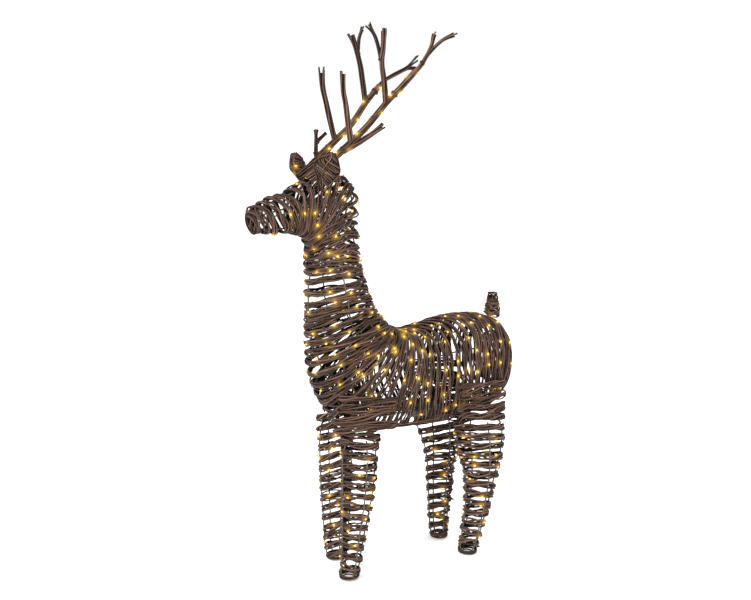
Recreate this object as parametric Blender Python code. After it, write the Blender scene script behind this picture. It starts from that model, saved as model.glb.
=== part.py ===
"""Light-up yard reindeer, 1.2 m tall.

A welded steel wire frame is wound with bundles of twigs, from the nose to the four feet. The two antlers
push into sockets on the head, strings of small lamps run over the windings, and a battery box hangs inside
the belly. Metres, +Z up. The nose points to -Y and the animal's left side is +X. The feet stand on Z = 0,
and the origin is below the middle of the length.
"""

import math

import bmesh
import bpy
from mathutils import Matrix, Vector

# Stock sizes.
MM = 0.001
STRAND_R = 4.0 * MM
WIRE_R = 1.4 * MM
LAMP_WIRE_R = 0.7 * MM
LAMP_R = 2.0 * MM
GAP = 0.3 * MM
FRAME_LIFT = -(STRAND_R + WIRE_R + 3.2 * MM)
HOOP_R = 1.6 * MM
HOOP_LIFT = FRAME_LIFT - 0.8 * (WIRE_R + HOOP_R) / 2
LAMP_LIFT = STRAND_R + LAMP_R + 1.2 * MM

# The body skin: each station is a section through it, in millimetres:
# (lower y, lower z, upper y, upper z, half width). They run from the nose to the rump.
BODY = [
    (-314, 788, -311, 817, 13),
    (-304, 770, -296, 834, 28),
    (-272, 764, -263, 850, 37),
    (-232, 764, -220, 864, 42),
    (-201, 761, -181, 884, 46),
    (-186, 753, -144, 899, 49),
    (-181, 742, -111, 897, 50),
    (-179, 730, -86, 880, 50),
    (-178, 716, -70, 852, 50),
    (-178, 700, -67, 815, 50),
    (-178, 680, -67, 775, 50),
    (-178, 655, -66, 735, 51),
    (-178, 627, -59, 698, 54),
    (-178, 595, -50, 661, 58),
    (-178, 560, -38, 627, 64),
    (-178, 524, -24, 598, 72),
    (-175, 485, -6, 573, 81),
    (-168, 440, 14, 554, 89),
    (-151, 393, 33, 543, 95),
    (-118, 350, 52, 538, 100),
    (-73, 325, 73, 537, 103),
    (-28, 316, 96, 539, 104),
    (17, 313, 121, 543, 104),
    (62, 313, 148, 548, 104),
    (107, 314, 176, 551, 104),
    (152, 316, 204, 552, 103),
    (192, 321, 232, 550, 99),
    (237, 331, 264, 545, 94),
    (273, 350, 291, 528, 82),
    (298, 378, 306, 500, 62),
    (311, 412, 313, 464, 34),
]
BODY_SIDES = 12
BODY_SQUARENESS = 2.3

# Each leg: (height, centre y, half length, half width) in millimetres. Its centre moves outwards as it
# rises.
LEGS = {
    "front_left": [
        (0, -112, 21.5, 21.5),
        (50, -106, 24, 24),
        (100, -102, 28, 27),
        (150, -98, 32, 30),
        (200, -94, 36, 34),
        (260, -93, 38, 37),
        (330, -92, 41, 41),
    ],
    "front_right": [
        (0, -90, 21.5, 21.5),
        (50, -92, 25, 24),
        (100, -89, 29, 27),
        (150, -88, 33, 31),
        (200, -84, 36, 34),
        (260, -82, 38, 37),
        (330, -82, 41, 41),
    ],
    "hind_left": [
        (0, 194, 20.5, 20.5),
        (50, 203, 28, 25),
        (100, 213, 33, 28),
        (150, 218, 38, 32),
        (200, 221, 46, 36),
        (250, 218, 58, 40),
        (330, 214, 64, 44),
    ],
    "hind_right": [
        (0, 186, 20.5, 20.5),
        (50, 187, 25, 24),
        (100, 189, 29, 27),
        (150, 191, 33, 31),
        (200, 194, 38, 35),
        (250, 198, 48, 39),
        (330, 202, 60, 44),
    ],
}
LEG_SIDES = 8
LEG_INSET = 0.056
LEG_SPLAY = 0.05
LEG_PITCH = 0.034
LEG_TOP = 0.322
ARCH_LEVELS = (0.350, 0.375, 0.400, 0.424)

# The top windings of a leg lie over the flank: (x, y) in millimetres, from front to back.
ARCHES = {
    "front": [(66, -153), (95, -136), (113, -110), (119, -84), (118, -50), (114.5, -22)],
    "hind": [(114.5, 122), (118, 150), (119, 180), (116, 212), (108, 243), (92, 268)],
}
ARCH_MIDDLE = {"front": -0.091, "hind": 0.210}

# The antlers' beams and tines, (x, y, z) in millimetres, x outwards. No two bundles branch quite alike.
ANTLER_BASE = Vector((0.027, -0.160, 0.899))
BEAMS = {
    "left": [
        (34, -129, 925), (39, -94, 954), (43, -58, 987), (48, -17, 1034), (54, 19, 1070), (63, 58, 1112),
        (70, 78, 1150),
    ],
    "right": [
        (34, -129, 925), (39, -94, 952), (43, -54, 986), (48, -13, 1035), (53, 28, 1075), (60, 91, 1106),
        (66, 127, 1132),
    ],
}
TINES = {
    "left": [
        [(70, 78, 1150), (76, 80, 1172), (82, 88, 1182)],
        [(67, 70, 1134), (80, 96, 1162), (92, 132, 1178)],
        [(36, -112, 936), (43, -80, 952), (54, -20, 992)],
        [(39, -94, 954), (48, -110, 1029), (52, -118, 1062), (56, -120, 1106)],
        [(48, -17, 1034), (57, -26, 1077), (64, -36, 1118), (70, -35, 1150), (76, -36, 1197)],
        [(64, -36, 1118), (70, -54, 1168), (74, -76, 1196)],
    ],
    "right": [
        [(56, 56, 1089), (66, 100, 1104), (73, 132, 1098)],
        [(33, -142, 922), (37, -139, 984)],
        [(34, -141, 950), (36, -112, 975)],
        [(39, -94, 954), (47, -109, 1026), (52, -116, 1066), (56, -116, 1113)],
        [(48, -17, 1034), (60, -21, 1098), (70, -31, 1153), (76, -42, 1184)],
        [(66, -26, 1130), (72, -20, 1168), (76, -5, 1196)],
    ],
}
BEAM_R = (6.0 * MM, 4.0 * MM)
TINE_R = (4.4 * MM, 2.6 * MM)
SPIGOT_R, SPIGOT_LENGTH = 3.0 * MM, 0.026
SOCKET_R, SOCKET_WALL = 5.4 * MM, 1.6 * MM

EAR_BASE = Vector((0.056, -0.164, 0.880))
EAR_TIPS = {"left": Vector((0.072, -0.154, 0.936)), "right": Vector((0.074, -0.176, 0.926))}
EAR_WIDE_WAY = Vector((0.7, 0.7, 0.0))
EAR_SECTIONS = [(0.0, 12, 8), (0.25, 20, 10), (0.55, 23, 10), (0.85, 14, 8), (1.0, 6, 4)]

TAIL_BASE = Vector((0.0, 0.286, 0.544))
TAIL_TOP = Vector((0.0, 0.286, 0.597))
TAIL_R = (11.5 * MM, 7.0 * MM)

# Battery box, hung on the belly rails above the opening in the belly. It holds three AA cells, with the
# control board and its button in front of them.
CELL_R, CELL_LENGTH = 7.0 * MM, 50.0 * MM
BOX_WALL = 2.0 * MM
BOARD_ROOM = 9.0 * MM
CONTACT_ROOM = 3.0 * MM
BOX_LENGTH = CELL_LENGTH + 2 * CONTACT_ROOM + BOARD_ROOM
BOX_INNER = Vector((6 * CELL_R + 3 * MM, BOX_LENGTH, 2 * CELL_R + 3 * MM))
BOX_CENTRE = Vector((0.0, 0.108, 0.341))
BUTTON_R, BUTTON_FLANGE_R, BUTTON_GAP = 4.0 * MM, 5.5 * MM, 0.2 * MM
BUTTON_OUT, BUTTON_TRAVEL = 2.5 * MM, 1.2 * MM
BRACKET_WIDTH, BRACKET_THICKNESS, BRACKET_STATION = 12 * MM, 1.5 * MM, 23.4
SCREW_R, SCREW_HEAD_R, SCREW_X = 1.5 * MM, 2.8 * MM, 0.015
LEAD_R = 1.5 * MM
LEAD_ROUTE = [
    (-30, 128, 346), (-42, 129, 350), (-58, 127, 358), (-67, 118, 376), (-70, 104, 410), (-69, 92, 446),
]
LID_THICKNESS = 2.0 * MM
PIN_R, PIN_GAP, KNUCKLE_R = 1.2 * MM, 0.1 * MM, 2.3 * MM
KNUCKLE_HALF, LUG_END = 0.012, 0.017


def clear_scene():
    for obj in list(bpy.data.objects):
        bpy.data.objects.remove(obj, do_unlink=True)


def new_collection(name, hidden=False):
    collection = bpy.data.collections.new(name)
    bpy.context.scene.collection.children.link(collection)
    collection.hide_render = hidden
    return collection


clear_scene()
PARTS = new_collection("yard_reindeer")
CUTTERS = new_collection("cutters", hidden=True)


# ---------------------------------------------------------------- materials


def material(name, colour, roughness, metallic=0.0, glow=0.0):
    made = bpy.data.materials.new(name)
    made.use_nodes = True
    shader = made.node_tree.nodes["Principled BSDF"]
    shader.inputs["Base Color"].default_value = (*colour, 1.0)
    shader.inputs["Roughness"].default_value = roughness
    shader.inputs["Metallic"].default_value = metallic
    if glow:
        shader.inputs["Emission Color"].default_value = (*colour, 1.0)
        shader.inputs["Emission Strength"].default_value = glow
    return made


TWIG = material("twig", (0.13, 0.085, 0.068), 0.75)
WIRE = material("wire", (0.20, 0.19, 0.16), 0.45, metallic=0.8)
LAMPS = material("lamps", (1.0, 0.72, 0.25), 0.3, glow=1.0)
CASE = material("case", (0.05, 0.05, 0.052), 0.5)
BUTTON = material("button", (0.35, 0.36, 0.37), 0.5)
CELL = material("cell", (0.55, 0.45, 0.25), 0.35, metallic=0.6)
BOARD = material("board", (0.05, 0.22, 0.10), 0.5)
METAL = material("metal", (0.6, 0.6, 0.58), 0.35, metallic=1.0)


# ---------------------------------------------------------------- tools


def place(obj, collection, made_of=None):
    for old in list(obj.users_collection):
        old.objects.unlink(obj)
    collection.objects.link(obj)
    if made_of is not None:
        obj.data.materials.clear()
        obj.data.materials.append(made_of)
    return obj


def tube(name, points, radius, made_of=None, radii=None, closed=False, resolution=0, collection=PARTS):
    """A round wire or twig along points. radii, one for each point, are factors of radius."""
    curve = bpy.data.curves.new(name, "CURVE")
    curve.dimensions = "3D"
    curve.bevel_depth = radius
    curve.bevel_resolution = resolution
    curve.use_fill_caps = not closed
    spline = curve.splines.new("POLY")
    spline.points.add(len(points) - 1)
    spline.use_cyclic_u = closed
    for index, point in enumerate(points):
        spline.points[index].co = (*point, 1.0)
        spline.points[index].radius = radii[index] if radii else 1.0
    return place(bpy.data.objects.new(name, curve), collection, made_of)


def as_mesh(curve_object):
    """The curve object as a mesh object with welded caps, so that a Boolean can use it."""
    graph = bpy.context.evaluated_depsgraph_get()
    mesh = bpy.data.meshes.new_from_object(curve_object.evaluated_get(graph))
    work = bmesh.new()
    work.from_mesh(mesh)
    bmesh.ops.remove_doubles(work, verts=work.verts, dist=0.00001)
    work.to_mesh(mesh)
    work.free()
    made = bpy.data.objects.new(curve_object.name, mesh)
    made.matrix_world = curve_object.matrix_world
    CUTTERS.objects.link(made)
    bpy.data.objects.remove(curve_object, do_unlink=True)
    return made


def boolean(target, tool, operation):
    tool.hide_render = True
    tool.display_type = "WIRE"
    modifier = target.modifiers.new(tool.name, "BOOLEAN")
    modifier.operation = operation
    modifier.object = tool


def weld(name, pieces, made_of):
    """Joins overlapping meshes into one solid called name."""
    first, *rest = pieces
    first.name = name
    place(first, PARTS, made_of)
    for piece in rest:
        boolean(first, piece, "UNION")
    return first


def wire(name, points, closed=False, radius=WIRE_R):
    return as_mesh(tube(name, points, radius, closed=closed, collection=CUTTERS))


def block(name, size, centre, made_of=None, collection=PARTS):
    bpy.ops.mesh.primitive_cube_add(size=1.0, location=(0, 0, 0))
    obj = bpy.context.object
    obj.name = name
    obj.data.transform(Matrix.Translation(centre) @ Matrix.Diagonal((*size, 1.0)))
    return place(obj, collection, made_of)


def rod(name, radius, start, end, made_of=None, sides=16, collection=PARTS):
    """A round bar from start to end."""
    start, end = Vector(start), Vector(end)
    bpy.ops.mesh.primitive_cylinder_add(vertices=sides, radius=radius, depth=(end - start).length)
    obj = bpy.context.object
    obj.name = name
    turn = Vector((0, 0, 1)).rotation_difference(end - start).to_matrix().to_4x4()
    obj.data.transform(Matrix.Translation((start + end) / 2) @ turn)
    return place(obj, collection, made_of)


def at_origin(obj, origin):
    """Moves a piece's own origin onto its joint's axis and leaves its shape where it is."""
    obj.data.transform(Matrix.Translation(-Vector(origin)))
    obj.location = origin
    return obj


def between(rows, place_on_rows):
    """A smooth curve through the rows of a table, read at row place_on_rows."""
    last = len(rows) - 1
    index = min(int(place_on_rows), last - 1)
    part = place_on_rows - index
    before, start, end, after = (rows[min(max(index + step, 0), last)] for step in (-1, 0, 1, 2))
    blended = []
    for a, b, c, d in zip(before, start, end, after):
        bend = (2 * a - 5 * b + 4 * c - d) * part**2 + (3 * b - a - 3 * c + d) * part**3
        blended.append((2 * b + (c - a) * part + bend) / 2)
    return blended


def mirrored(points, side):
    return [Vector((side * point[0], point[1], point[2])) for point in points]


def from_mm(points):
    return [Vector(point) * MM for point in points]


# ---------------------------------------------------------------- the body's skin


def squared(value):
    return math.copysign(abs(value) ** (2 / BODY_SQUARENESS), value)


def skin(station, step, lift=0.0):
    """The point of the body's skin at a station. Step counts round from the top, BODY_SIDES to a turn."""
    low_y, low_z, high_y, high_z, half_width = (value * MM for value in between(BODY, station))
    low, high = Vector((0, low_y, low_z)), Vector((0, high_y, high_z))
    up = (high - low) / 2
    angle = 2 * math.pi * step / BODY_SIDES
    rise = up.normalized() * (up.length + lift) * squared(math.cos(angle))
    return (low + high) / 2 + rise + Vector(((half_width + lift) * squared(math.sin(angle)), 0, 0))


def helix(start, end, turns, lift=0.0, first_step=0):
    """A winding round the skin from station start to station end."""
    count = turns * BODY_SIDES
    return [
        skin(start + (end - start) * index / count, first_step + index, lift)
        for index in range(count + 1)
    ]


def saddle(stations, reaches, lift=0.0):
    """A winding that passes over the back. It turns round at its station's reach, in steps each side."""
    points = []
    for index, (station, reach) in enumerate(zip(stations, reaches)):
        steps = range(-reach, reach + 1)
        points += [skin(station, step, lift) for step in (steps if index % 2 else reversed(steps))]
    return points


def spread(start, end, count):
    return [start + (end - start) * index / (count - 1) for index in range(count)]


def trunk_reach(station):
    """The trunk's windings stop above the legs, and leave the belly open between them."""
    return 5 if 21.4 < station < 24.6 else 4


# ---------------------------------------------------------------- windings of the body


def add_body_windings():
    tube("wicker_muzzle", helix(0.25, 3.7, 5), STRAND_R, TWIG)
    tube("wicker_head", helix(4.15, 9.6, 6), STRAND_R, TWIG)
    tube("wicker_neck", helix(10.0, 14.3, 8), STRAND_R, TWIG)
    tube("wicker_chest", helix(14.75, 17.3, 6), STRAND_R, TWIG)
    stations = spread(17.95, 26.6, 16)
    tube("wicker_trunk", saddle(stations, [trunk_reach(station) for station in stations]), STRAND_R, TWIG)
    tube("wicker_rump", helix(27.2, 29.7, 3), STRAND_R, TWIG)


def rails(name, stations, steps):
    return [
        wire(f"{name}_rail_{step}", [skin(station, step, FRAME_LIFT) for station in stations])
        for step in steps
    ]


def hoops(name, stations):
    return [
        wire(
            f"{name}_hoop_{index}",
            [skin(station, step, HOOP_LIFT) for step in range(BODY_SIDES)],
            closed=True,
            radius=HOOP_R,
        )
        for index, station in enumerate(stations)
    ]


def add_body_frame():
    long_rails = rails("trunk", [15.0, 16, 17, 18, 20, 22, 24, 26, 27.7], (0, 2, 4, 8, 10))
    belly_rails = rails("belly", [21.0, 22, 23, 24, 25.4], (5, 7))
    weld("frame_trunk", hoops("trunk", (15.3, 18.3, 21.3, 25.1, 27.4)) + long_rails + belly_rails, WIRE)
    neck_rails = rails("neck", [1, 2, 3, 4, 5, 6, 7, 8, 9, 10.5, 12, 13.5, 14.7], (0, 3, 6, 9))
    weld("frame_neck", hoops("neck", (1.3, 5.4, 9.7, 14.3)) + neck_rails, WIRE)


# ---------------------------------------------------------------- legs


def leg_point(name, height, step, lift=0.0):
    """A point round a leg at a height. Step 0 is the front, and a quarter turn on is the outer side."""
    rows = LEGS[name]
    below = max(index for index in range(len(rows) - 1) if rows[index][0] <= height / MM)
    part = (height / MM - rows[below][0]) / (rows[below + 1][0] - rows[below][0])
    _, middle, half_length, half_width = (value * MM for value in between(rows, below + part))
    side = 1 if name.endswith("left") else -1
    angle = 2 * math.pi * step / LEG_SIDES
    return Vector((
        side * (LEG_INSET + LEG_SPLAY * height + (half_width + lift) * math.sin(angle)),
        middle - (half_length + lift) * math.cos(angle),
        height,
    ))


def leg_helix(name, low, high, turns, lift=0.0):
    count = turns * LEG_SIDES
    rise = (high - low) / count
    return [leg_point(name, low + rise * index, index, lift) for index in range(count + 1)]


def arch(name, level, lift=0.0):
    """One strand over the flank, from front to back. The lower ones are shorter."""
    end = name.split("_")[0]
    side = 1 if name.endswith("left") else -1
    share = 0.62 + 0.38 * (level - ARCH_LEVELS[0]) / (ARCH_LEVELS[-1] - ARCH_LEVELS[0])
    middle = ARCH_MIDDLE[end]
    points = []
    for index, (x, y) in enumerate(ARCHES[end]):
        sag = 0.010 * (2 * index / (len(ARCHES[end]) - 1) - 1) ** 2
        points.append(Vector((side * (x * MM + lift), middle + (y * MM - middle) * share, level - sag)))
    return points


def add_leg(name):
    turns = round(LEG_TOP / LEG_PITCH)
    winding = leg_helix(name, STRAND_R + 1.5 * MM, LEG_TOP, turns)
    for index, level in enumerate(ARCH_LEVELS):
        strand = arch(name, level)
        winding += reversed(strand) if index % 2 else strand
    tube(f"wicker_leg_{name}", winding, STRAND_R, TWIG)

    heights = (1.5 * MM, 0.05, 0.10, 0.15, 0.20, 0.25, 0.326)
    rods = [
        wire(f"leg_wire_{name}_{step}", [leg_point(name, z, step, FRAME_LIFT) for z in heights])
        for step in range(0, LEG_SIDES, 2)
    ]
    rings = [
        wire(
            f"leg_hoop_{name}_{index}",
            [leg_point(name, z, step, HOOP_LIFT) for step in range(LEG_SIDES)],
            closed=True,
            radius=HOOP_R,
        )
        for index, z in enumerate((0.15, 0.314))
    ]
    weld(f"frame_leg_{name}", [foot_ring(name), *rods, *rings], WIRE)

    lamp_turns = 4
    points = leg_helix(name, 0.020, 0.30, lamp_turns, LAMP_LIFT)
    lamp_string(f"light_string_leg_{name}", points, every=5)


def foot_ring(name):
    """The flat steel ring that the leg stands on."""
    height = 3.0 * MM
    middle = leg_point(name, 0, 0) + leg_point(name, 0, LEG_SIDES // 2)
    middle /= 2
    outer = LEGS[name][0][2] * MM - STRAND_R - 2 * GAP
    ring = rod(f"foot_{name}", outer, middle, middle + Vector((0, 0, height)), collection=CUTTERS)
    below, above = middle - Vector((0, 0, height)), middle + Vector((0, 0, 2 * height))
    hole = rod(f"foot_hole_{name}", outer - 6 * MM, below, above, collection=CUTTERS)
    boolean(ring, hole, "DIFFERENCE")
    return ring


# ---------------------------------------------------------------- lamps


def lamp_string(name, points, every=4, first=2):
    """A thin wire with a lamp at every few points: the wire swells to the lamp's size and back."""
    route, radii = [], []
    for index, point in enumerate(points):
        if index % every == first and 0 < index < len(points) - 1:
            along = (points[index + 1] - points[index - 1]).normalized() * LAMP_R
            route += [point - along, point, point + along]
            radii += [1.0, LAMP_R / LAMP_WIRE_R, 1.0]
        else:
            route.append(point)
            radii.append(1.0)
    return tube(name, route, LAMP_WIRE_R, LAMPS, radii)


def add_body_lamps():
    """The trunk's lamps stay above the strands that lie over its flanks."""
    lamp_string("light_string_head", helix(0.8, 4.1, 3, LAMP_LIFT, 6), every=5)
    lamp_string("light_string_neck", helix(9.8, 17.0, 5, LAMP_LIFT, 3), every=7)
    lamp_string("light_string_trunk", saddle(spread(18.4, 26.2, 7), [3] * 7, LAMP_LIFT), every=7)


# ---------------------------------------------------------------- ears and tail


def cone_point(base, tip, share, half_length, half_width, angle, wide_way):
    """A point round a tapering form, half_length along wide_way and half_width across it."""
    along = (tip - base).normalized()
    wide = wide_way - along * along.dot(wide_way)
    thick = along.cross(wide).normalized()
    out = wide.normalized() * half_length * math.cos(angle) + thick * half_width * math.sin(angle)
    return base + (tip - base) * share + out


def add_ear(side_name, side):
    base, tip, wide = mirrored([EAR_BASE, EAR_TIPS[side_name], EAR_WIDE_WAY], side)
    turns, sides = 5, 7
    count = turns * sides
    winding = []
    for index in range(count + 1):
        share = index / count
        row = share * (len(EAR_SECTIONS) - 1)
        _, half_length, half_width = between(EAR_SECTIONS, row)
        angle = 2 * math.pi * index / sides
        winding.append(cone_point(base, tip, share, half_length * MM, half_width * MM, angle, wide))
    tube(f"wicker_ear_{side_name}", winding, 2.6 * MM, TWIG)

    loop = []
    for share, half_length, _ in EAR_SECTIONS:
        loop.append(cone_point(base, tip, 0.08 + 0.8 * share, max(half_length - 8, 2) * MM, 0, 0, wide))
    middles = [base + (tip - base) * (0.08 + 0.8 * share) for share, _, _ in EAR_SECTIONS]
    loop += [2 * middle - point for middle, point in zip(middles, loop)][::-1]
    tube(f"frame_ear_{side_name}", loop, 1.0 * MM, WIRE)


def add_tail():
    turns, sides = 5, 8
    count = turns * sides
    winding = []
    for index in range(count + 1):
        share = index / count
        radius = TAIL_R[0] + (TAIL_R[1] - TAIL_R[0]) * share
        angle = 2 * math.pi * index / sides
        winding.append(cone_point(TAIL_BASE, TAIL_TOP, share, radius, radius, angle, Vector((0, 1, 0))))
    tube("wicker_tail", winding, 3.0 * MM, TWIG)
    tube("frame_tail", [TAIL_BASE, (TAIL_BASE + TAIL_TOP) / 2, TAIL_TOP], 1.6 * MM, WIRE)


# ---------------------------------------------------------------- antlers


def tapered(name, points, ends):
    start, end = ends
    radii = [1 + (end / start - 1) * index / (len(points) - 1) for index in range(len(points))]
    return as_mesh(tube(name, points, start, radii=radii, resolution=1, collection=CUTTERS))


def add_antler(side_name, side):
    axis = (Vector(BEAMS[side_name][1]) * MM - ANTLER_BASE).normalized()
    root = ANTLER_BASE + axis * 0.022
    (base, start), (way,) = mirrored([ANTLER_BASE, root], side), mirrored([axis], side)

    beam = mirrored([root, *from_mm(BEAMS[side_name])], side)
    pieces = [tapered(f"beam_{side_name}", beam, BEAM_R)]
    for index, tine in enumerate(TINES[side_name]):
        pieces.append(tapered(f"tine_{side_name}_{index}", mirrored(from_mm(tine), side), TINE_R))
    weld(f"antler_{side_name}", pieces, TWIG)
    rod(f"antler_spigot_{side_name}", SPIGOT_R, start - way * GAP, start - way * SPIGOT_LENGTH, METAL)

    string = []
    around = BEAM_R[0] + LAMP_R + 3 * GAP
    for index, point in enumerate(beam):
        angle = index * math.pi / 3
        ahead = (beam[min(index + 1, len(beam) - 1)] - beam[max(index - 1, 0)]).normalized()
        across = ahead.cross(Vector((1, 0, 0))).normalized()
        offset = across * math.cos(angle) * 0.2 + Vector((side, 0, 0))
        string.append(point + offset.normalized() * around)
    lamp_string(f"light_string_antler_{side_name}", string, every=2, first=1)

    low = base - way * 0.008
    high = start - way * 2 * GAP
    socket = rod(f"antler_socket_{side_name}", SOCKET_R, low, high, METAL)
    floor = start - way * (SPIGOT_LENGTH + 1 * MM)
    bore = rod(f"socket_bore_{side_name}", SOCKET_R - SOCKET_WALL, floor, high + way * 2 * MM,
               collection=CUTTERS)
    boolean(socket, bore, "DIFFERENCE")


# ---------------------------------------------------------------- battery box


def add_battery_box():
    outer = BOX_INNER + Vector((2 * BOX_WALL, 2 * BOX_WALL, BOX_WALL))
    floor = BOX_CENTRE.z - BOX_INNER.z / 2
    case_centre = BOX_CENTRE + Vector((0, 0, BOX_WALL / 2))
    case = block("battery_case", outer, case_centre, CASE)
    below = Vector((0, 0, BOX_WALL))
    cavity = block("cavity", BOX_INNER + below, BOX_CENTRE - below / 2, collection=CUTTERS)
    boolean(case, cavity, "DIFFERENCE")
    add_cells(floor)
    add_button(case, outer)
    add_bracket(case, outer)
    add_lead(outer)
    hinge = add_lid(outer, floor)
    add_hinge_lugs(case, outer, hinge)


def along_x(name, radius, centre, low, high, sides=12):
    """A round tool parallel to X, from low to high on that axis."""
    return rod(name, radius, centre + Vector((low, 0, 0)), centre + Vector((high, 0, 0)), sides=sides,
               collection=CUTTERS)


def add_lid(outer, floor):
    """The lid closes the box from below and swings down about a pin at the rear."""
    lid_z = floor - LID_THICKNESS / 2 - GAP
    hinge = Vector((0, BOX_CENTRE.y + outer.y / 2 + KNUCKLE_R + GAP, lid_z))
    lid = block("battery_lid", (outer.x, outer.y, LID_THICKNESS), Vector((0, BOX_CENTRE.y, lid_z)), CASE)
    tab = block("lid_tab", Vector((2 * KNUCKLE_HALF, 4 * MM, LID_THICKNESS * 0.8)),
                Vector((0, BOX_CENTRE.y + outer.y / 2, lid_z)), collection=CUTTERS)
    boolean(lid, tab, "UNION")
    boolean(lid, along_x("lid_knuckle", KNUCKLE_R, hinge, -KNUCKLE_HALF, KNUCKLE_HALF), "UNION")
    boolean(lid, along_x("lid_pin_hole", PIN_R + PIN_GAP, hinge, -LUG_END, LUG_END), "DIFFERENCE")
    at_origin(lid, hinge)
    half = Vector((LUG_END, 0, 0))
    rod("lid_hinge_pin", PIN_R, hinge - half, hinge + half, METAL, sides=12)
    return hinge


def add_hinge_lugs(case, outer, hinge):
    """Two lugs on the case hold the pin on both sides of the lid's knuckle."""
    width = LUG_END - KNUCKLE_HALF - GAP
    for side in (-1, 1):
        middle = side * (KNUCKLE_HALF + GAP + width / 2)
        low, high = middle - width / 2, middle + width / 2
        boolean(case, along_x(f"lug_{side}", KNUCKLE_R, hinge, low, high), "UNION")
        web = Vector((width, KNUCKLE_R + 1 * MM, 2 * MM))
        web_y = BOX_CENTRE.y + outer.y / 2 + KNUCKLE_R / 2 - 0.5 * MM
        web_z = hinge.z + LID_THICKNESS / 2 + GAP + 1 * MM
        joint = block(f"lug_web_{side}", web, Vector((middle, web_y, web_z)), collection=CUTTERS)
        boolean(case, joint, "UNION")
    boolean(case, along_x("lug_bore", PIN_R + PIN_GAP, hinge, -2 * LUG_END, 2 * LUG_END), "DIFFERENCE")


def add_cells(floor):
    rear = BOX_CENTRE.y + BOX_INNER.y / 2 - CONTACT_ROOM
    front = rear - CELL_LENGTH
    for index in range(3):
        x = (index - 1) * (2 * CELL_R + 2 * GAP)
        z = floor + CELL_R + 2 * GAP
        rod(f"battery_cell_{index + 1}", CELL_R, (x, front, z), (x, rear, z), CELL, sides=12)
    for end, y in (("front", front - CONTACT_ROOM / 2), ("rear", rear + CONTACT_ROOM / 2)):
        block(f"contact_plate_{end}", Vector((38, 0.8, 12)) * MM, Vector((0, y, floor + 8 * MM)), METAL)


def add_button(case, outer):
    """The timer button slides in a hole in the front wall, and its flange keeps it in."""
    face = Vector((0, BOX_CENTRE.y - outer.y / 2, BOX_CENTRE.z))
    way = Vector((0, 1, 0))
    wall = face + way * BOX_WALL
    hole = rod("button_hole", BUTTON_R + BUTTON_GAP, face - way * BOX_WALL, wall + way * BOX_WALL,
               sides=24, collection=CUTTERS)
    boolean(case, hole, "DIFFERENCE")
    flange = rod("button_flange", BUTTON_FLANGE_R, wall + way * GAP, wall + way * (GAP + 1 * MM),
                 sides=24, collection=CUTTERS)
    button = rod("timer_button", BUTTON_R, face - way * BUTTON_OUT, wall + way * (GAP + 0.5 * MM), BUTTON,
                 sides=24)
    boolean(button, flange, "UNION")
    at_origin(button, face)
    board_y = wall.y + GAP + 1 * MM + BUTTON_TRAVEL + 2.4 * MM
    board = block("control_board", Vector((34, 1.6, 13)) * MM, Vector((0, board_y, BOX_CENTRE.z)), BOARD)
    switch = block("switch_body", Vector((6, 2.4, 6)) * MM, Vector((0, board_y - 0.9 * MM, BOX_CENTRE.z)),
                   collection=CUTTERS)
    boolean(board, switch, "UNION")


def add_bracket(case, outer):
    """A steel strap on top of the case. Its ends stand on the belly rails, and two screws hold the case."""
    top = BOX_CENTRE.z + BOX_INNER.z / 2 + BOX_WALL
    rail = skin(BRACKET_STATION, 5, FRAME_LIFT)
    span = 2 * rail.x + 2 * WIRE_R
    low = top + GAP
    strap = block("battery_bracket", (span, BRACKET_WIDTH, BRACKET_THICKNESS),
                  Vector((0, rail.y, low + BRACKET_THICKNESS / 2)), METAL)
    for side in (-1, 1):
        foot = rail.z + WIRE_R + GAP
        height = low + BRACKET_THICKNESS / 2 - foot
        x = side * (span - BRACKET_THICKNESS) / 2
        size = (BRACKET_THICKNESS, BRACKET_WIDTH * 0.9, height)
        middle = Vector((x, rail.y, foot + height / 2))
        leg_block = block(f"bracket_leg_{side}", size, middle, collection=CUTTERS)
        boolean(strap, leg_block, "UNION")
    for word, side in (("left", 1), ("right", -1)):
        centre = Vector((side * SCREW_X, rail.y, top))
        up = Vector((0, 0, 1))
        head_low = low + BRACKET_THICKNESS + GAP
        hole = rod(f"screw_hole_{word}", SCREW_R + 0.2 * MM, centre - up * 5 * MM, centre + up * 5 * MM,
                   collection=CUTTERS)
        boolean(case, hole, "DIFFERENCE")
        boolean(strap, hole, "DIFFERENCE")
        screw = rod(f"bracket_screw_{word}", SCREW_R, centre - up * BOX_WALL * 0.9,
                    Vector((centre.x, centre.y, head_low + 0.5 * MM)), METAL, sides=12)
        head = rod(f"screw_head_{word}", SCREW_HEAD_R, Vector((centre.x, centre.y, head_low)),
                   Vector((centre.x, centre.y, head_low + 1.8 * MM)), sides=16, collection=CUTTERS)
        boolean(screw, head, "UNION")


def add_lead(outer):
    """The lead leaves through a gland and ends in the connector that feeds the lamp strings."""
    route = from_mm(LEAD_ROUTE)
    wall = Vector((-outer.x / 2, route[0].y, route[0].z))
    outside = Vector((route[0].x + 3 * GAP, wall.y, wall.z))
    rod("lead_gland", 3.0 * MM, wall - Vector((GAP, 0, 0)), outside, CASE, sides=12)
    count = 14
    smooth = [Vector(between(route, index * (len(route) - 1) / count)) for index in range(count + 1)]
    tube("battery_lead", smooth, LEAD_R, CASE, resolution=1)
    along = (smooth[-1] - smooth[-2]).normalized()
    start = smooth[-1] + along * GAP
    rod("lead_connector", 4.5 * MM, start, start + along * 0.022, CASE, sides=12)


add_body_windings()
add_body_frame()
for leg in LEGS:
    add_leg(leg)
add_body_lamps()
for side_word, sign in (("left", 1), ("right", -1)):
    add_ear(side_word, sign)
    add_antler(side_word, sign)
add_tail()
add_battery_box()
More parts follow.
